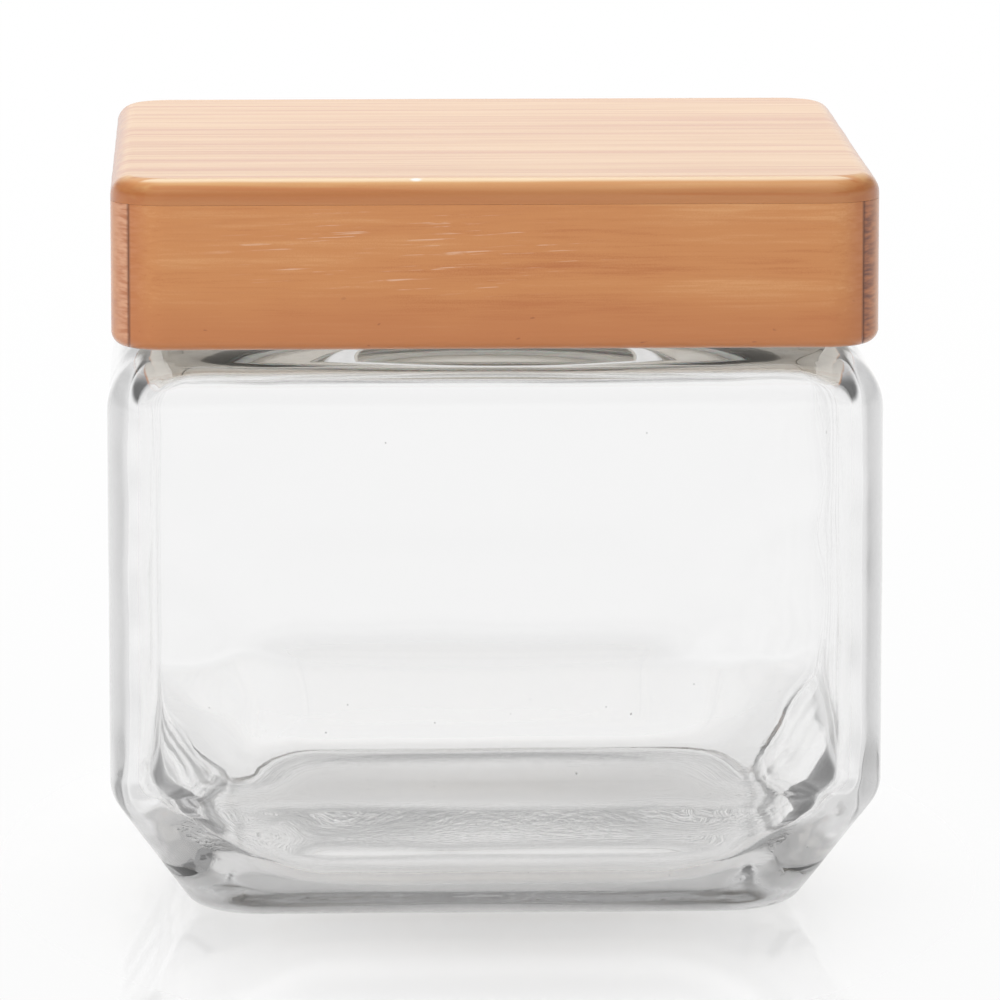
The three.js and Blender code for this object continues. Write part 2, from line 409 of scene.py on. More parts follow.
def bulge(up):
    """How much further in the middle of a side stands than its ends."""
    at_end = bend(up, SLANT_TOP, SLANT_END_FILLET)
    in_middle = bend(up, SLANT_TOP + SLANT_RISE, SLANT_FILLET)
    return (at_end - in_middle) * min((up - FLOOR) / BULGE_START, 1)


def inside_waves(up):
    return INSIDE_WAVES + LOW_WAVES * (1 - held((up - LOW_WAVES_END) / LOW_WAVES_FADE))


def punt_cuts():
    ball = (PUNT ** 2 + PUNT_DEPTH ** 2) / (2 * PUNT_DEPTH)
    swing = math.asin(PUNT / ball)
    profile = arc(0, PUNT_DEPTH - ball, ball, QUARTER, QUARTER - swing, swing / PUNT_STEPS)
    return [(out, out, up, PUNT_WAVES, 0) for out, up in profile[1:]]


def outside_cuts():
    profile = closer([
        *rounded((0, 0), (FOOT_HALF, 0), (JAR_HALF, FOOT_HEIGHT), FOOT_EDGE),
        *rounded((FOOT_HALF, 0), (JAR_HALF, FOOT_HEIGHT), (JAR_HALF, SHOULDER), SLANT_EDGE),
        *arc(JAR_HALF - SHOULDER_ROLL, SHOULDER - SHOULDER_ROLL, SHOULDER_ROLL, 0, QUARTER),
    ], OUTSIDE_STEP)
    cuts = []
    for out, up in profile:
        corner = cut_corner(up, FOOT_CORNER, CORNER, SHOULDER, SHOULDER_ROLL, SHOULDER_CORNER)
        cuts.append((out, corner, up, OUTSIDE_WAVES, 0))
    return cuts


def neck_cuts():
    profile = [
        *arc(NECK + NECK_FILLET, SHOULDER + NECK_FILLET, NECK_FILLET, -QUARTER, -math.pi, NECK_STEP),
        *arc(NECK - NECK_EDGE, RIM - NECK_EDGE, NECK_EDGE, 0, QUARTER, NECK_STEP),
        *arc(BORE + NECK_EDGE, RIM - NECK_EDGE, NECK_EDGE, QUARTER, math.pi, NECK_STEP),
        *arc(BORE + NECK_FILLET, CEILING + NECK_FILLET, NECK_FILLET, math.pi, 3 * QUARTER, NECK_STEP),
    ]
    return [(out, out, up, NECK_WAVES, 0) for out, up in profile]


def inside_cuts():
    profile = closer([
        *arc(INNER_HALF - INNER_ROLL, CEILING - INNER_ROLL, INNER_ROLL, QUARTER, 0),
        *rounded((INNER_HALF, CEILING), (INNER_HALF, SLANT_TOP), (SLANT_FLOOR, FLOOR), SLANT_END_FILLET),
        *rounded((INNER_HALF, SLANT_TOP), (SLANT_FLOOR, FLOOR), (0, FLOOR), FLOOR_FILLET),
    ], INSIDE_STEP)
    cuts = []
    for out, up in profile:
        corner = cut_corner(up, FLOOR_CORNER, CAVITY_CORNER, CEILING, INNER_ROLL, SHOULDER_CORNER - WALL)
        cuts.append((out, corner, up, inside_waves(up), bulge(up)))
    floor_half, floor_corner = cuts[-1][:2]
    for share in FLOOR_RINGS:
        cuts.append((floor_half * share, floor_corner * share, FLOOR, INSIDE_WAVES, 0))
    return cuts


CUT_COLUMNS = ("half_width", "corner_radius", "up", "waves", "bulge")
CUTS = punt_cuts() + outside_cuts() + neck_cuts() + inside_cuts()
print(len(CUTS), "cuts through the jar")

# %% [markdown]
# ## The jar's blank
#
# A blank is turned from the list of cuts as if the jar were round, and every point remembers its cut and
# its direction. The directions are closer together round the corners, where the glass bends light most.

# %% Turn the blank
SIDE_STEPS = 56
CORNER_STEPS = 16


def new_object(name, data):
    """An object in the scene for a mesh, a lamp or a camera."""
    thing = bpy.data.objects.new(name, data)
    bpy.context.scene.collection.objects.link(thing)
    return thing


def directions():
    """Angles round the jar: even steps along each side and round each corner arc."""
    straight = JAR_HALF - CORNER
    side_end = math.atan2(straight, JAR_HALF)
    angles = []
    for quarter in range(4):
        turn = quarter * QUARTER
        angles += [turn - side_end + 2 * side_end * i / SIDE_STEPS for i in range(SIDE_STEPS)]
        for i in range(CORNER_STEPS):
            swing = QUARTER * i / CORNER_STEPS
            x = straight + CORNER * math.cos(swing)
            y = straight + CORNER * math.sin(swing)
            angles.append(turn + math.atan2(y, x))
    return angles


def turned_blank(name, cuts, angles, low, high):
    """A mesh of rings, one for each cut, closed by a point on the axis at each end."""
    around = len(angles)
    points = [(0, 0, low)]
    for half, _, up, *_ in cuts:
        points += [(half * math.cos(a), half * math.sin(a), up) for a in angles]
    points.append((0, 0, high))
    last = len(points) - 1
    faces = []
    for i in range(around):
        j = (i + 1) % around
        faces.append((0, 1 + j, 1 + i))
        faces.append((last, last - around + i, last - around + j))
        for cut in range(len(cuts) - 1):
            here = 1 + cut * around
            faces.append((here + i, here + j, here + around + j, here + around + i))
    mesh = bpy.data.meshes.new(name)
    mesh.from_pydata(points, [], faces)
    rows = [(0, 0, low, 0, 0), *(cut for cut in cuts for _ in angles), (0, 0, high, 0, 0)]
    for column, label in enumerate(CUT_COLUMNS):
        values = mesh.attributes.new(label, "FLOAT", "POINT")
        values.data.foreach_set("value", [row[column] for row in rows])
    values = mesh.attributes.new("direction", "FLOAT", "POINT")
    values.data.foreach_set("value", [0.0, *(a for _ in cuts for a in angles), 0.0])
    return mesh


blank_mesh = turned_blank("blank", CUTS, directions(), PUNT_DEPTH, FLOOR)
jar = new_object("glass_jar_body", blank_mesh)
print(len(blank_mesh.polygons), "faces in the blank")

# %% [markdown]
# ## Geometry Nodes in a script
#
# A tree of Geometry Nodes takes a mesh in and gives a mesh out, with named sizes beside it. Helpers start
# such a tree, end it in real geometry with a material, and run it once on an object, so that the object
# keeps a plain mesh and no modifier.

# %% Start, end and run a tree


def start_tree(name, sizes):
    """A Geometry Nodes tree with a geometry in, a geometry out and named sizes."""
    tree = bpy.data.node_groups.new(name, "GeometryNodeTree")
    tree.interface.new_socket("Geometry", in_out="INPUT", socket_type="NodeSocketGeometry")
    tree.interface.new_socket("Geometry", in_out="OUTPUT", socket_type="NodeSocketGeometry")
    for label, kind in sizes.items():
        tree.interface.new_socket(label, in_out="INPUT", socket_type=kind)
    group_in = tree.nodes.new("NodeGroupInput")
    return tree, {socket.name: Wire(tree, socket) for socket in group_in.outputs if socket.name}


def end_tree(shape, material):
    """Ends a tree in real geometry with its material."""
    real = shape.add("GeometryNodeRealizeInstances", {"Geometry": shape})
    painted = real.add("GeometryNodeSetMaterial", {"Geometry": real, "Material": material})
    painted.add("NodeGroupOutput", {"Geometry": painted})


def keep_result(thing):
    """Swaps an object's mesh for the result of its modifiers."""
    evaluated = thing.evaluated_get(bpy.context.evaluated_depsgraph_get())
    thing.data = bpy.data.meshes.new_from_object(evaluated)
    thing.modifiers.clear()


def run_tree(thing, tree, sizes):
    """Runs a tree on an object and keeps the result as a plain mesh."""
    modifier = thing.modifiers.new(tree.name, "NODES")
    modifier.node_group = tree
    for item in tree.interface.items_tree:
        if item.in_out == "INPUT" and item.name in sizes:
            modifier[item.identifier] = sizes[item.name]
    keep_result(thing)
    print(tree.name, "made", len(thing.data.polygons), "faces")


print("tree helpers ready")

# %% [markdown]
# ## Pressing the blank square
#
# Geometry Nodes press the blank into the mould: each point moves out to the edge of its own rounded
# square, along its own direction. Then the walls get the slow waves of pressed glass, stronger inside,
# where the plunger was, than outside, where the mould was polished. A rule does this for every point at
# once, and the named sizes can be changed without touching the list of cuts.

# %% Build the pressing tree
ROUNDING = 1e-9


def pressing_tree():
    tree, given = start_tree("press_square", {
        "Wave height": "NodeSocketFloat",
        "Waves per metre": "NodeSocketFloat",
        "Bulge flat": "NodeSocketFloat",
        "Bulge end": "NodeSocketFloat",
        "Seed": "NodeSocketFloat",
    })
    start = given["Geometry"]

    def stored(label):
        return start.add("GeometryNodeInputNamedAttribute", {"Name": label}, data_type="FLOAT")

    half, corner, up, angle = (stored(s) for s in ("half_width", "corner_radius", "up", "direction"))
    cosine, sine = start.math("COSINE", angle), start.math("SINE", angle)
    along = start.math("MAXIMUM", abs(cosine), abs(sine))
    across = start.math("MINIMUM", abs(cosine), abs(sine))
    straight = half - corner
    on_side = half * across < straight * along + ROUNDING
    middle = straight * (along + across)
    inside_root = middle * middle - 2 * straight * straight + corner * corner
    on_arc = middle + start.math("SQRT", start.math("MAXIMUM", inside_root, 0.0))
    reach = on_side * (half / along) + (1 - on_side) * on_arc
    near_end = (reach * across).rise(given["Bulge flat"], given["Bulge end"])
    reach = reach - stored("bulge") * (1 - near_end) / along
    place = start.add("ShaderNodeCombineXYZ", {"X": reach * cosine, "Y": reach * sine, "Z": up})
    pressed = start.add("GeometryNodeSetPosition", {"Geometry": start, "Position": place})

    where = start.add("GeometryNodeInputPosition")
    waves, seed = given["Waves per metre"], given["Seed"]
    swell = where.stretch((1, 1, 0.6)).noise(waves, detail=1.0, seed=seed) - 0.5
    swirl = where.noise(2 * waves, detail=1.0, seed=seed + 1) - 0.5
    depth = (swell + 2 * near_end * swirl) * given["Wave height"] * stored("waves")
    push = start.add("GeometryNodeInputNormal").scaled(depth)
    waved = start.add("GeometryNodeSetPosition", {"Geometry": pressed, "Offset": push})
    smooth = start.add("GeometryNodeSetShadeSmooth", {"Geometry": waved, "Shade Smooth": True})
    end_tree(smooth, CLEAR_GLASS)
    return tree


run_tree(jar, pressing_tree(), {
    "Wave height": 0.35 * MM,
    "Waves per metre": 38.0,
    "Bulge flat": 30 * MM,
    "Bulge end": 43 * MM,
    "Seed": 4.0,
})

# %% [markdown]
# Glass only bends light the right way if every face of the solid points out of it, so the mesh is closed
# and turned outwards. The measured volume is a check: it says how much glass is in the jar. Then the jar
# takes the place of its plain solid.

# %% Settle the jar
DOUBLES = 1e-7


def face_outwards(mesh):
    """Merges doubles and turns every face of a closed mesh outwards. Gives its volume."""
    work = bmesh.new()
    work.from_mesh(mesh)
    bmesh.ops.remove_doubles(work, verts=work.verts, dist=DOUBLES)
    bmesh.ops.recalc_face_normals(work, faces=work.faces)
    volume = work.calc_volume(signed=True)
    if volume < 0:
        bmesh.ops.reverse_faces(work, faces=work.faces)
    work.to_mesh(mesh)
    work.free()
    return abs(volume)


def settle(thing, body, slot, *nodes):
    """Puts a finished piece on its body, in place of its plain solids. The slot is not used."""
    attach(thing, body)
    if nodes:
        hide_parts(*nodes)
    print(thing.name, "rides on", body, "with", len(thing.data.polygons), "faces")


glass_volume = face_outwards(jar.data)
for label in (*CUT_COLUMNS, "direction"):
    jar.data.attributes.remove(jar.data.attributes[label])
settle(jar, "jar", "clear_glass", "glass_jar")
print(f"glass {glass_volume * 1e6:.0f} cm3")

# %% [markdown]
# ## Pine
#
# The lid is stained pine under a smooth lacquer. A picture of wood could be wrapped round each board, but
# grain is solid, not a skin: fibres run along each board, so a long face shows streaks and an end shows
# dots. Noise that is stretched along the grain gives that from every side. The stain was wiped on from
# outside, so the faces inside the lid stay pale and dull, and a little of it ran into the joints.

# %% Make the pine
LID_INNER = rest_high.x + 0.2 * MM
TONGUE = 3 * MM
BARE = tone(244, 240, 232)
BARE_STREAK = tone(230, 222, 210)
SEAM_STAIN = tone(104, 60, 38)
AXES = {"X": (1, 0, 0), "Y": (0, 1, 0)}


def pine(name, along, tones, end, marks=None, seed=0.0, hollow=True):
    """Stained and lacquered pine whose fibres run along X or Y. `marks` may add marks to the colour."""
    dark, middle, light = tones
    material, start = new_material(name)
    place = start.add("ShaderNodeTexCoord", out="Object")
    normal = start.add("ShaderNodeTexCoord", out="Normal")
    slow = [1.0, 1.0, 1.0]
    slow["XYZ".index(along)] = 0.04
    grain = place.stretch(slow)
    bands = grain.noise(170, detail=2.0, seed=seed)
    fibres = grain.noise(1700, detail=3.0, seed=seed + 1, rough=0.6)
    clouds = place.noise(24, detail=2.0, seed=seed + 2)
    sanding = place.noise(4200, detail=1.0, seed=seed + 3)
    depth = 0.4 * bands + 0.3 * fibres + 0.2 * clouds + 0.1 * sanding
    colour = depth.rise(0.36, 0.5).blend(dark, middle)
    colour = depth.rise(0.5, 0.64).blend(colour, light)
    year = grain.stretch((0.5, 0.5, 0.5)).noise(330, detail=1.0, seed=seed + 4)
    year_line = 1 - abs(year - 0.5).rise(0.0, 0.025)
    colour = (0.3 * year_line * clouds).blend(colour, dark)

    end_on = abs(normal.vector("DOT_PRODUCT", AXES[along], out="Value")).rise(0.25, 0.7)
    rays = place.stretch((0.2, 0.2, 1)).noise(1500, detail=2.0, seed=seed + 5)
    colour = end_on.blend(colour, rays.rise(0.3, 0.7).blend(dark, end))
    if marks:
        colour = marks(place, colour)

    bare = normal.part("Z") < -0.98
    if hollow:
        from_seam = abs(abs(place.part("X")) - (LID_HALF - TONGUE))
        seam = (1 - from_seam.rise(0.08 * MM, 0.42 * MM)) * clouds.rise(0.3, 0.55)
        colour = (0.65 * seam).blend(colour, SEAM_STAIN)
        sideways = start.math("MAXIMUM", abs(place.part("X")), abs(place.part("Y")))
        bare = start.math("MAXIMUM", bare, sideways < LID_INNER + 0.4 * MM)
    colour = bare.blend(colour, (0.5 * fibres).blend(BARE, BARE_STREAK))
    bump = start.add("ShaderNodeBump", {"Strength": 0.12, "Distance": 0.1 * MM, "Height": fibres})
    wood = start.add("ShaderNodeBsdfPrincipled", {
        "Base Color": colour,
        "Roughness": 0.38 + 0.12 * fibres + 0.2 * bare,
        "Specular IOR Level": 0.15,
        "Coat Weight": 0.8 * (1 - bare),
        "Coat Roughness": 0.17,
        "Normal": bump,
    })
    start.add("ShaderNodeOutputMaterial", {"Surface": wood})
    return material


print("pine recipe ready")

# %% [markdown]
# A lid that is lifted every day gets marked. The front is scuffed by fingers, and its colour is darker
# towards its foot. The top has streaks of darker wood and a chip at the front. Its rounded edge is painted
# darker, as painted shade, and the arris above it is painted pale, as a painted highlight. Each mark is a
# mask made from noise or from a place on the board, and it blends one more colour in.

# %% Mark the wood
TOP_EDGE = 3.4 * MM
SCUFF_MIDDLE = (-14 * MM, -LID_HALF, LID_BOTTOM + 16 * MM)
SCUFF_REACH = (44 * MM, 6 * MM, 11 * MM)
CHIP_MIDDLE = (-13.2 * MM, -LID_HALF + 2.2 * MM, LID_TOP - 0.3 * MM)
CHIP_REACH = (1.3 * MM, 0.9 * MM, 0.5 * MM)


def front_marks(place, colour):
    """Marks on the cross boards: colour darker towards the foot, pale scuffs that rise to the right, and
    dark specks.
    """
    across, height = place.part("X"), place.part("Z")
    drift = place.noise(60, detail=2.0, seed=31) - 0.5
    low = 1 - (height + 6 * MM * drift).rise(LID_BOTTOM + 2 * MM, LID_BOTTOM + 11 * MM)
    colour = (0.75 * low).blend(colour, tone(180, 110, 62))
    line_space = place.add("ShaderNodeCombineXYZ", {
        "X": 0.025 * across,
        "Y": place.part("Y"),
        "Z": height - 0.04 * across,
    })
    lines = line_space.noise(3200, detail=2.0, seed=33)
    broken = place.stretch((0.25, 1, 1)).noise(900, detail=2.0, seed=34).rise(0.42, 0.56)
    field = place.near(SCUFF_MIDDLE, SCUFF_REACH)
    scuffs = lines.rise(0.6, 0.7) * broken * field.rise(0.1, 0.9)
    colour = (0.45 * scuffs).blend(colour, tone(230, 196, 174))
    specks = place.stretch((0.5, 1, 1)).noise(900, detail=1.0, seed=37).rise(0.72, 0.78) * low
    return (0.6 * specks).blend(colour, tone(120, 66, 40))


def painted_arris_highlight(place):
    """1 along the arris where the top board's flat face starts to turn down: a painted highlight."""
    wander = 0.25 * MM * (place.noise(45, detail=2.0, seed=45) - 0.5)
    from_top = LID_TOP - place.part("Z") + wander
    flat_reach = LID_HALF - TOP_EDGE
    turning = abs(place.part("Y")).rise(flat_reach + 0.1 * MM, flat_reach + 0.7 * MM)
    return turning * (1 - from_top.rise(0.25 * MM, 0.75 * MM))


def top_marks(place, colour):
    """Streaks along the top board, painted shade on its rounded edge, a painted highlight along its arris,
    and a chip out of the front of it.
    """
    streaks = place.stretch((0.03, 1, 1)).noise(190, detail=3.0, seed=41)
    colour = (0.5 * streaks.rise(0.48, 0.6)).blend(colour, tone(204, 128, 74))
    threads = place.stretch((0.02, 1, 1)).noise(620, detail=2.0, seed=43)
    colour = (0.5 * threads.rise(0.54, 0.64)).blend(colour, tone(196, 118, 64))
    # Painted shade: the rounded edge under the top face is painted darker.
    painted_edge_shade = 1 - place.part("Z").rise(LID_TOP - 2.6 * MM, LID_TOP - 0.5 * MM)
    colour = (0.8 * painted_edge_shade).blend(colour, tone(166, 98, 50))
    # Painted highlight: a pale line along the arris.
    colour = (0.75 * painted_arris_highlight(place)).blend(colour, tone(250, 228, 194))
    return place.near(CHIP_MIDDLE, CHIP_REACH).blend(colour, tone(250, 246, 240))


print("marks ready")

# %% [markdown]
# Each board was sawn from another plank, so each has tones of its own: dark, middle and light wood, and
# the tone of its end grain. The top board's tones are painted paler, as painted light from above. The left
# board's end grain is painted pale, as painted light, and the right board's dark, as painted shade.

# %% Mix four pines
END_GRAIN = tone(186, 120, 76)
# Painted light: the left board's end grain is painted pale.
END_WITH_PAINTED_LIGHT = tone(206, 152, 118)
# Painted shade: the right board's end grain is painted dark.
END_WITH_PAINTED_SHADE = tone(104, 58, 44)
# Painted light: the top board's tones are paler than the other boards', as if lit from above.
TOP_TONES_WITH_PAINTED_LIGHT = (tone(212, 152, 94), tone(226, 176, 118), tone(235, 190, 136))
CROSS_TONES = (tone(178, 108, 58), tone(193, 128, 74), tone(204, 146, 94))
LEFT_TONES = (tone(176, 110, 72), tone(193, 127, 76), tone(204, 144, 94))
RIGHT_TONES = (tone(174, 106, 62), tone(190, 124, 70), tone(202, 142, 90))

PINE_TOP = pine("pine_top", "X", TOP_TONES_WITH_PAINTED_LIGHT, END_GRAIN, top_marks, seed=1, hollow=False)
PINE_CROSS = pine("pine_cross", "X", CROSS_TONES, END_GRAIN, front_marks, seed=5)
PINE_LEFT = pine("pine_left", "Y", LEFT_TONES, END_WITH_PAINTED_LIGHT, seed=9)
PINE_RIGHT = pine("pine_right", "Y", RIGHT_TONES, END_WITH_PAINTED_SHADE, seed=11)
print("four pines made")

# %% [markdown]
# The board and the plug inside the lid are sanded and left bare. The plug was turned, so its faces show
# fine rings round its axis as well as grain. The rings are a sine of the distance from the axis.

# %% Make the bare pine
RING_SPACING = 0.7 * MM


def bare_pine(name, ring_depth, seed):
    material, start = new_material(name)
    place = start.add("ShaderNodeTexCoord", out="Object")
    grain = place.stretch((0.04, 1, 1))
    bands = grain.noise(230, detail=3.0, seed=seed)
    fibres = grain.noise(1700, detail=3.0, seed=seed + 1, rough=0.6)
    colour = (0.65 * bands + 0.35 * fibres).rise(0.36, 0.64).blend(BARE_STREAK, BARE)
    away = place.stretch((1, 1, 0)).length()
    rings = start.math("SINE", away * (2 * math.pi / RING_SPACING))
    relief = fibres + ring_depth * rings
    bump = start.add("ShaderNodeBump", {"Strength": 0.25, "Distance": 0.1 * MM, "Height": relief})
    wood = start.add("ShaderNodeBsdfPrincipled", {
        "Base Color": colour,
        "Roughness": 0.55 + 0.2 * fibres,
        "Normal": bump,
    })
    start.add("ShaderNodeOutputMaterial", {"Surface": wood})
    return material


BARE_BOARD = bare_pine("bare_board", 0.0, 13)
TURNED_PINE = bare_pine("turned_pine", 0.25, 17)
print("two bare pines made")

# %% [markdown]
# ## Outlines of the boards
#
# The lid was glued up first and its edges were rounded over afterwards, across the joints, so all boards
# share one rounded outside. Here each board is lofted: its outline is drawn again at each height, further
# in where the rounding takes wood away, and the outlines are joined up. A Bevel could round each board by
# itself, but at the thin tongues it would run out of wood. The tongues stay where they are, so the joints
# still meet at every height.

# %% Draw the outlines
LID_CORNER = 9.5 * MM
LID_MIDDLE = LID_HALF - LID_CORNER
GLUE_LINE = 0.03 * MM


def corner_arc(x_sign, y_sign, first, last, inset, steps=20):
    """Points on one rounded corner of the lid, from one share of the quarter turn to another."""
    reach = LID_CORNER - inset
    swings = [(first + (last - first) * i / steps) * QUARTER for i in range(steps + 1)]
    return [
        (x_sign * (LID_MIDDLE + reach * math.cos(a)), y_sign * (LID_MIDDLE + reach * math.sin(a)))
        for a in swings
    ]


def share_at(x, inset):
    """The share of a corner's quarter turn at which it crosses the line at x."""
    return math.acos((x - LID_MIDDLE) / (LID_CORNER - inset)) / QUARTER


def cross_outline(y_sign, inset):
    """A cross board: square ends between the tongues, its outer face running into the corners."""
    end = LID_HALF - TONGUE - GLUE_LINE
    share = share_at(end, inset)
    right = corner_arc(1, y_sign, share, 1, inset)
    left = corner_arc(-1, y_sign, 1, share, inset)
    return [(-end, y_sign * LID_INNER), (end, y_sign * LID_INNER), *right, *left]


def side_outline(x_sign, inset):
    """A side board: a rabbet at each end leaves the tongue that covers the cross board's end."""
    tongue = LID_HALF - TONGUE
    share = share_at(tongue, inset)
    shoulder = LID_INNER - GLUE_LINE
    front = corner_arc(x_sign, -1, share, 0, inset)
    rear = corner_arc(x_sign, 1, 0, share, inset)
    return [
        (x_sign * LID_INNER, shoulder), (x_sign * LID_INNER, -shoulder), (x_sign * tongue, -shoulder),
        *front, *rear, (x_sign * tongue, shoulder),
    ]


def panel_outline(inset):
    """The top board: all four corners."""
    outline = []
    for x_sign, y_sign, first, last in ((1, 1, 0, 1), (-1, 1, 1, 0), (-1, -1, 0, 1), (1, -1, 1, 0)):
        outline += corner_arc(x_sign, y_sign, first, last, inset)
    return outline


def square_outline(inset):
    """The board that rests on the rim: a plain square."""
    reach = rest_high.x - inset
    return [(reach, reach), (-reach, reach), (-reach, -reach), (reach, -reach)]


def levels(low, high, bottom_radius, top_radius, steps=8):
    """Heights of a board with how far in its outside stands at each."""
    swings = [QUARTER * i / steps for i in range(steps + 1)]
    rows = [(low, 0)]
    if bottom_radius:
        rows = [
            (low + bottom_radius * (1 - math.cos(a)), bottom_radius * (1 - math.sin(a)))
            for a in swings
        ]
    top = [(high, 0)]
    if top_radius:
        top = [(high - top_radius * (1 - math.sin(a)), top_radius * (1 - math.cos(a))) for a in swings]
    return rows + top


print("the front board's outline has", len(cross_outline(-1, 0)), "points")

# %% [markdown]
# ## Lofting the boards
#
# The rounding was done by hand with sandpaper, so it wavers a little, and the light along it wavers too.
# Points on the rounding are moved in or out by slow noise, but not at the joints, where two boards have
# to meet. A narrow Bevel then eases the sharp edges that are left, and weighted normals let the large
# flat faces decide how the shading runs over them.

# %% Loft a board
SHARP_EDGE = 0.05 * MM
EASE_ANGLE = math.radians(35)
PLANK_STEP = 5 * MM
WAVER = 0.12 * MM
SLOW_WAVER = 45
QUICK_WAVER = 140
ON_OUTSIDE = 0.02 * MM
AT_JOINT = 0.1 * MM


def smooth_object(name, mesh, material):
    """An object of this mesh, in one material and shaded smooth."""
    mesh.materials.append(material)
    mesh.polygons.foreach_set("use_smooth", [True] * len(mesh.polygons))
    return new_object(name, mesh)


def even_normals(thing):
    """Lets the large flat faces decide how the shading runs over an edge."""
    even = thing.modifiers.new("even", "WEIGHTED_NORMAL")
    even.keep_sharp = True
    keep_result(thing)


def wavered(x, y, up, inset):
    """A point of the rounding, moved in or out a little by the sandpaper. Joints aren't moved."""
    beyond = Vector((max(abs(x) - LID_MIDDLE, 0), max(abs(y) - LID_MIDDLE, 0)))
    outside = abs(beyond.length - (LID_CORNER - inset)) < ON_OUTSIDE
    if not outside or abs(abs(x) - (LID_HALF - TONGUE)) < AT_JOINT:
        return (x, y, up)
    place = Vector((x, y, up))
    wander = noise.noise(place * SLOW_WAVER) + 0.5 * noise.noise(place * QUICK_WAVER)
    push = beyond.normalized() * (WAVER * wander)
    return (x + math.copysign(push.x, x), y + math.copysign(push.y, y), up)


def plank(name, outline_at, rows, material):
    """A board lofted through its outlines, one for each height and inset in rows."""
    plain = outline_at(0)
    lengths = [math.dist(a, b) for a, b in zip(plain, plain[1:] + plain[:1])]
    counts = [max(1, math.ceil(length / PLANK_STEP)) for length in lengths]
    widest = max(inset for _, inset in rows)
    work = bmesh.new()
    rings = []
    for up, inset in rows:
        corners = outline_at(inset)
        turning = 0 < inset < widest
        ring = []
        for here, there, count in zip(corners, corners[1:] + corners[:1], counts):
            for i in range(count):
                x, y = (a + (b - a) * i / count for a, b in zip(here, there))
                ring.append(work.verts.new(wavered(x, y, up, inset) if turning else (x, y, up)))
        rings.append(ring)
    work.faces.new(rings[0])
    work.faces.new(rings[-1])
    for under, over in zip(rings, rings[1:]):
        for i in range(len(under)):
            j = (i + 1) % len(under)
            work.faces.new((under[i], under[j], over[j], over[i]))
    bmesh.ops.recalc_face_normals(work, faces=work.faces)
    mesh = bpy.data.meshes.new(name)
    work.to_mesh(mesh)
    work.free()
    thing = smooth_object(name, mesh, material)
    ease = thing.modifiers.new("ease", "BEVEL")
    ease.limit_method = "ANGLE"
    ease.angle_limit = EASE_ANGLE
    ease.width = SHARP_EDGE
    ease.segments = 2
    keep_result(thing)
    even_normals(thing)
    return thing


print("boards are eased by", SHARP_EDGE / MM, "mm")

# %% [markdown]
# ## The lid's box
#
# Five boards make the box: the top board, a front and a rear cross board, and two side boards whose
# tongues cover the cross boards' ends. The top board sits a hair above the frame, so that the two faces
# don't share one plane and flicker. A sixth board fills the frame inside and rests on the jar's rim.

# %% Saw the boards
LOWER_EDGE = 2.6 * MM
TOP_SEAT = 0.01 * MM
REST_EDGE = 0.5 * MM

top_rows = levels(FRAME_TOP + TOP_SEAT, LID_TOP, 0, TOP_EDGE)
top_board = plank("lid_top_board", panel_outline, top_rows, PINE_TOP)
settle(top_board, "lid", "pine_top", "lid_top_panel")

frame_rows = levels(LID_BOTTOM, FRAME_TOP, LOWER_EDGE, 0)
for label, sign in (("front", -1), ("rear", 1)):
    cross = plank(f"lid_{label}_cross", lambda inset: cross_outline(sign, inset), frame_rows, PINE_CROSS)
    settle(cross, "lid", "pine_frame", f"lid_{label}_board")
for label, sign, wood in (("left", -1, PINE_LEFT), ("right", 1, PINE_RIGHT)):
    side = plank(f"lid_{label}_side", lambda inset: side_outline(sign, inset), frame_rows, wood)
    settle(side, "lid", "pine_frame", f"lid_{label}_board")

rest_rows = levels(rest_low.z, rest_high.z, REST_EDGE, REST_EDGE)
rest_board = plank("lid_rest_board", square_outline, rest_rows, BARE_BOARD)
settle(rest_board, "lid", "pine_inside", "lid_inner_board")

# %% [markdown]
# ## Turned pieces
#
# Under the rest board is a turned disc that enters the mouth, with a groove round its edge. A soft ring
# with two fins sits in the groove. Both came off a lathe or out of a round mould, so they are made the
# same way here: a profile with softened corners is carried round the axis.

# %% Carry a profile round
TURNED_STEPS = 128


def softened(corners, radii):
    """A closed profile whose corners are rounded, each with its own radius."""
    profile = []
    count = len(corners)
    for i, radius in enumerate(radii):
        at = corners[i]
        if radius == 0:
            profile.append(at)
        else:
            profile += rounded(corners[i - 1], at, corners[(i + 1) % count], radius)
    return profile


def turned(name, profile, material):
    """Carries a closed profile of (radius, height) round the axis. Points on the axis become poles."""
    points, faces, rings = [], [], []
    for radius, height in profile:
        ring = []
        for i in range(1 if radius == 0 else TURNED_STEPS):
            swing = 2 * math.pi * i / TURNED_STEPS
            ring.append(len(points))
            points.append((radius * math.cos(swing), radius * math.sin(swing), height))
        rings.append(ring)
    for here, there in zip(rings, [*rings[1:], rings[0]]):
        for i in range(TURNED_STEPS):
            j = (i + 1) % TURNED_STEPS
            if len(here) > 1 and len(there) > 1:
                faces.append((here[i], here[j], there[j], there[i]))
            elif len(here) > 1:
                faces.append((here[i], here[j], there[0]))
            elif len(there) > 1:
                faces.append((here[0], there[j], there[i]))
    mesh = bpy.data.meshes.new(name)
    mesh.from_pydata(points, [], faces)
    face_outwards(mesh)
    thing = smooth_object(name, mesh, material)
    even_normals(thing)
    return thing


print("pieces are turned in", TURNED_STEPS, "steps")

# %% [markdown]
# The plug's groove is a little wider than the ring, so that the plug can turn in the ring while the ring
# grips the glass. The plug's lower edge is rounded most, because it has to find its way into the mouth.

# %% Turn the plug
RING_PLAY = 0.3 * MM
PLUG = plug_high.x
GROOVE = PLUG - 3 * MM
GROOVE_LOW = seal_low.z - RING_PLAY
GROOVE_HIGH = seal_high.z + RING_PLAY
PLUG_LEAD = 1.2 * MM
PLUG_EDGE = 0.3 * MM
GROOVE_FILLET = 0.2 * MM

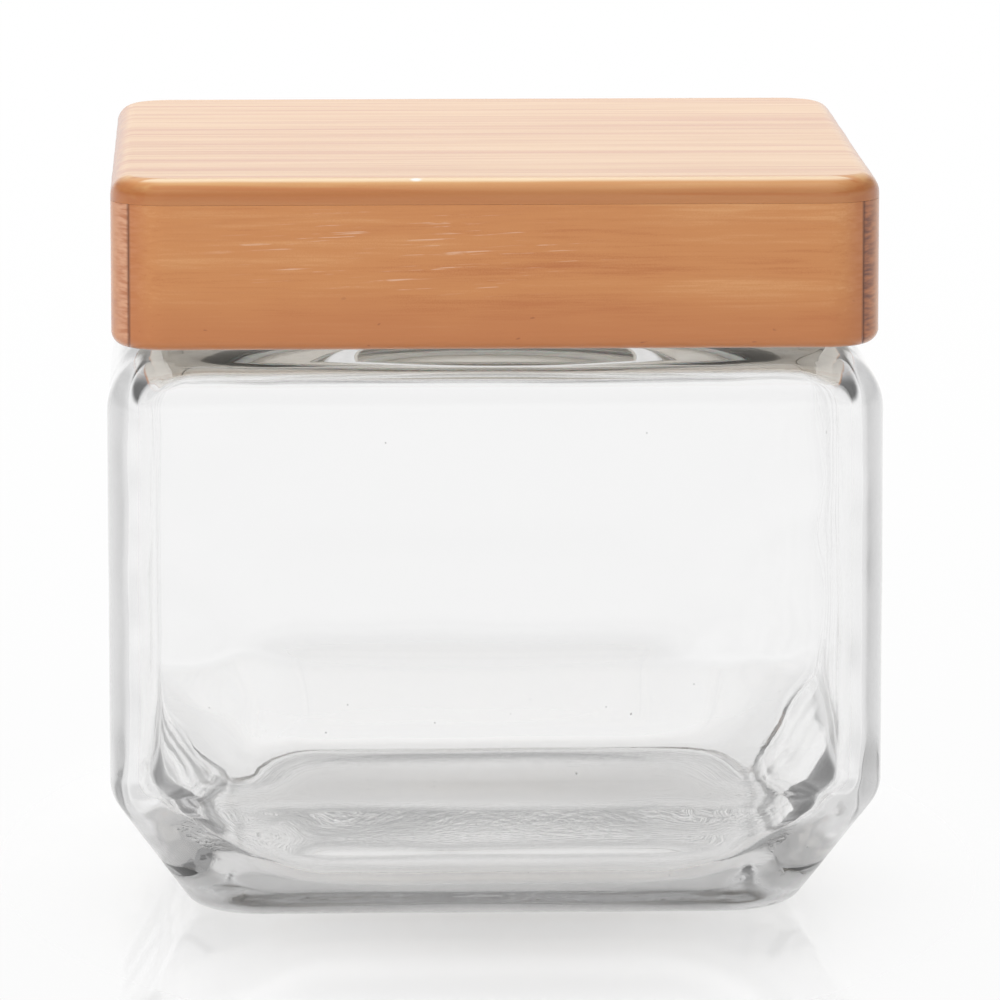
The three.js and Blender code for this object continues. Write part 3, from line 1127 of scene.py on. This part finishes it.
plug = turned("lid_turned_plug", softened(
    [
        (0, plug_low.z), (PLUG, plug_low.z), (PLUG, GROOVE_LOW), (GROOVE, GROOVE_LOW),
        (GROOVE, GROOVE_HIGH), (PLUG, GROOVE_HIGH), (PLUG, plug_high.z), (0, plug_high.z),
    ],
    [0, PLUG_LEAD, PLUG_EDGE, GROOVE_FILLET, GROOVE_FILLET, PLUG_EDGE, PLUG_EDGE, 0],
), TURNED_PINE)
settle(plug, "lid", "pine_inside", "lid_plug_disc")

# %% [markdown]
# The ring is milky silicone: matt, a little dusty, and soft enough that light goes some way into it,
# which Principled gives as subsurface light.

# %% Mould the ring
FIN = 1 * MM
FIN_EDGE = 0.4 * MM
RING_EDGE = 0.2 * MM
RING_BACK = GROOVE + RING_PLAY
FIN_TIP = seal_high.x


def soft_silicone():
    material, start = new_material("soft_silicone")
    dust = start.add("ShaderNodeTexCoord", out="Object").noise(700, detail=3.0, seed=21)
    rubber = start.add("ShaderNodeBsdfPrincipled", {
        "Base Color": dust.rise(0.45, 0.75).blend(tone(226, 226, 221), tone(206, 205, 198)),
        "Roughness": 0.42 + 0.2 * dust,
        "Subsurface Weight": 0.25,
        "Subsurface Scale": 2 * MM,
    })
    start.add("ShaderNodeOutputMaterial", {"Surface": rubber})
    return material


low_fin_top = seal_low.z + FIN
high_fin_bottom = seal_high.z - FIN
ring = turned("soft_seal_ring", softened(
    [
        (RING_BACK, seal_low.z), (FIN_TIP, seal_low.z),
        (FIN_TIP, low_fin_top), (PLUG, low_fin_top),
        (PLUG, high_fin_bottom), (FIN_TIP, high_fin_bottom),
        (FIN_TIP, seal_high.z), (RING_BACK, seal_high.z),
    ],
    [RING_EDGE, FIN_EDGE, FIN_EDGE, RING_EDGE, RING_EDGE, FIN_EDGE, FIN_EDGE, RING_EDGE],
), soft_silicone())
settle(ring, "seal", "soft_seal", "seal_ring")

# %% [markdown]
# ## Seeds in the glass
#
# Cheap pressed glass holds seeds: bubbles of air too small to rise out while it was soft. Most are in the
# thick foot. Geometry Nodes strew points over the jar's skin, crowded low down, sink them under it and put
# a small stretched ball at each. A seed is air in glass, so light bends the other way at it: its index is
# one over the glass's.

# %% Strew the seeds
SHALLOWEST = 0.6 * MM
CROWDED_BELOW = 14 * MM
SPARSE_ABOVE = 34 * MM
SPARSE = 0.06
LONGEST = 1.9


def air_in_glass():
    material, start = new_material("air_in_glass")
    air = start.add("ShaderNodeBsdfGlass", {"Color": WHITE, "Roughness": 0.0, "IOR": 1 / GLASS_INDEX})
    start.add("ShaderNodeOutputMaterial", {"Surface": air})
    return material


def seed_tree(material):
    tree, given = start_tree("strew_seeds", {
        "Seeds per square metre": "NodeSocketFloat",
        "Smallest": "NodeSocketFloat",
        "Largest": "NodeSocketFloat",
        "Deepest": "NodeSocketFloat",
        "Seed": "NodeSocketInt",
    })
    start = given["Geometry"]
    height = start.add("GeometryNodeInputPosition").part("Z")
    crowd = SPARSE + (1 - SPARSE) * (1 - height.rise(CROWDED_BELOW, SPARSE_ABOVE))
    points = start.add(
        "GeometryNodeDistributePointsOnFaces",
        {"Mesh": start, "Density": given["Seeds per square metre"] * crowd, "Seed": given["Seed"]},
        distribute_method="RANDOM",
    )

    def any_value(low, high, seed):
        inputs = {2: low, 3: high, "Seed": seed}
        return start.add("FunctionNodeRandomValue", inputs, out=1, data_type="FLOAT")

    depth = any_value(SHALLOWEST, given["Deepest"], 1)
    sink = points.other("Normal").scaled(-1 * depth)
    sunk = start.add("GeometryNodeSetPosition", {"Geometry": points, "Offset": sink})
    ball = start.add("GeometryNodeMeshIcoSphere", {"Radius": 1.0, "Subdivisions": 2})
    smooth = ball.add("GeometryNodeSetShadeSmooth", {"Geometry": ball, "Shade Smooth": True})
    width = any_value(given["Smallest"], given["Largest"], 2)
    tall = width * any_value(1.0, LONGEST, 3)
    size = start.add("ShaderNodeCombineXYZ", {"X": width, "Y": width, "Z": tall})
    placed = {"Points": sunk, "Instance": smooth, "Scale": size}
    end_tree(start.add("GeometryNodeInstanceOnPoints", placed), material)
    return tree


seeds = new_object("glass_seeds", jar.data.copy())
run_tree(seeds, seed_tree(air_in_glass()), {
    "Seeds per square metre": 2600.0,
    "Smallest": 0.05 * MM,
    "Largest": 0.18 * MM,
    "Deepest": 2.6 * MM,
    "Seed": 7,
})
settle(seeds, "jar", "clear_glass")

# %% [markdown]
# ## The table
#
# The jar stands on a pale, faintly polished table in a white studio. A real white sheet would need much
# light to come out white. Here the table glows white away from the jar and is an ordinary lit surface
# close to it, so that the jar's soft shadow and its reflection show, and the table runs into the white
# background without a line. The glow is only for rays that show the table, so it doesn't light the jar.

# %% Lay the table
TABLE_HALF = 4.0
TABLE_DROP = 0.05 * MM
SHADED_WITHIN = 0.04
WHITE_BEYOND = 0.17
LEAST_GLOW = 0.1
POLISH = 0.22


def table_top():
    material, start = new_material("table_top")
    place = start.add("ShaderNodeTexCoord", out="Object")
    by_camera = start.add("ShaderNodeLightPath", out="Is Camera Ray")
    by_gloss = by_camera.other("Is Glossy Ray")
    by_glass = by_camera.other("Is Transmission Ray")
    seen = start.math("MAXIMUM", start.math("MAXIMUM", by_camera, by_gloss), by_glass)
    away = place.stretch((1.7, 1, 1)).length()
    far = LEAST_GLOW + (1 - LEAST_GLOW) * away.rise(SHADED_WITHIN, WHITE_BEYOND)
    lit = start.add("ShaderNodeBsdfDiffuse", {"Color": grey(0.93)})
    white = start.add("ShaderNodeEmission", {"Color": WHITE, "Strength": 1.0})
    base = start.add("ShaderNodeMixShader", {0: far * seen, 1: lit, 2: white})
    gloss = start.add("ShaderNodeBsdfGlossy", {"Color": WHITE, "Roughness": 0.06})
    surface = start.add("ShaderNodeMixShader", {0: POLISH * seen, 1: base, 2: gloss})
    start.add("ShaderNodeOutputMaterial", {"Surface": surface})
    return material


corners = [(x * TABLE_HALF, y * TABLE_HALF, 0) for x, y in ((-1, -1), (1, -1), (1, 1), (-1, 1))]
table_mesh = bpy.data.meshes.new("floor")
table_mesh.from_pydata(corners, [], [(0, 1, 2, 3)])
table_mesh.materials.append(table_top())
floor = new_object("floor", table_mesh)
floor.location.z = -TABLE_DROP
print("table laid")

# %% [markdown]
# ## The studio's light
#
# Clear glass shows its form only where it bends something dark into view. So the white studio has two
# dim parts that only the glass and the gloss see: one high behind the jar, and one at each side. The
# camera itself sees plain white, and soft light comes evenly from all round.

# %% Light the studio
BACK_DIM = 0.45
SIDE_DIM = 0.85
ROOM_LIGHT = 0.75


def studio_world():
    world = bpy.data.worlds.new("studio")
    world.use_nodes = True
    world.node_tree.nodes.clear()
    start = Wire(world.node_tree)
    direction = start.add("ShaderNodeTexCoord", out="Generated")
    height = direction.part("Z")
    back = height.rise(0.1, 0.4) * (1 - height.rise(0.6, 0.85))
    sides = abs(direction.part("X")).rise(0.15, 0.6)
    dim = start.math("MAXIMUM", BACK_DIM * back, SIDE_DIM * sides * height.rise(0.05, 0.35))
    by_camera = start.add("ShaderNodeLightPath", out="Is Camera Ray")
    by_gloss = by_camera.other("Is Glossy Ray")
    by_glass = by_camera.other("Is Transmission Ray")
    bounced = start.math("MAXIMUM", by_gloss, by_glass)
    round_about = bounced * (1.0 - dim) + (1 - bounced) * ROOM_LIGHT
    strength = by_camera + (1 - by_camera) * round_about
    sky = start.add("ShaderNodeBackground", {"Color": WHITE, "Strength": strength})
    start.add("ShaderNodeOutputWorld", {"Surface": sky})
    return world


bpy.context.scene.world = studio_world()
print("studio lit")

# %% [markdown]
# Two large soft lamps give the wood its form: a key from behind and above, which brightens the lid's top,
# and a fill from the front left. They are hidden from reflections and from what the glass shows, because
# a bright rectangle in the glass would look like a window.

# %% Hang the lamps
JAR_MIDDLE = (0, 0, 0.06)


def lamp(name, place, width, height, power):
    light = bpy.data.lights.new(name, "AREA")
    light.shape = "RECTANGLE"
    light.size = width
    light.size_y = height
    light.energy = power
    thing = new_object(name, light)
    thing.location = place
    thing.rotation_euler = (Vector(JAR_MIDDLE) - Vector(place)).to_track_quat("-Z", "Y").to_euler()
    thing.visible_transmission = False
    thing.visible_glossy = False
    print(name, "lamp of", power, "W hung")


lamp("key", (-0.06, 0.8, 0.9), 1.0, 0.4, 8.0)
lamp("fill", (-0.6, -0.9, 0.6), 0.8, 0.8, 4.0)

# %% [markdown]
# ## The camera
#
# The camera stands well back with a long lens, a little above the lid, turned a little to the right and
# down. Its place and angles were fitted to the edges of the jar and the lid, and its focal length is
# given in pixels of a square picture, so it is turned into a lens for Blender's sensor.

# %% Set the camera
CAMERA_PLACE = Vector((-45.1, -1410.9, 283.0)) * MM
CAMERA_YAW = 0.0338
CAMERA_PITCH = 0.1549
PICTURE_PIXELS = 1000
FOCAL_PIXELS = 8304
SENSOR = 36
FARTHEST = 50

camera_data = bpy.data.cameras.new("camera")
camera_data.sensor_width = SENSOR
camera_data.lens = FOCAL_PIXELS / PICTURE_PIXELS * SENSOR
camera_data.clip_end = FARTHEST
camera = new_object("camera", camera_data)
camera.location = CAMERA_PLACE
ahead = Vector((
    math.sin(CAMERA_YAW) * math.cos(CAMERA_PITCH),
    math.cos(CAMERA_YAW) * math.cos(CAMERA_PITCH),
    -math.sin(CAMERA_PITCH),
))
camera.rotation_euler = ahead.to_track_quat("-Z", "Y").to_euler()
bpy.context.scene.camera = camera
bpy.context.scene.view_settings.view_transform = "Standard"
print(f"lens {camera_data.lens:.0f} mm")
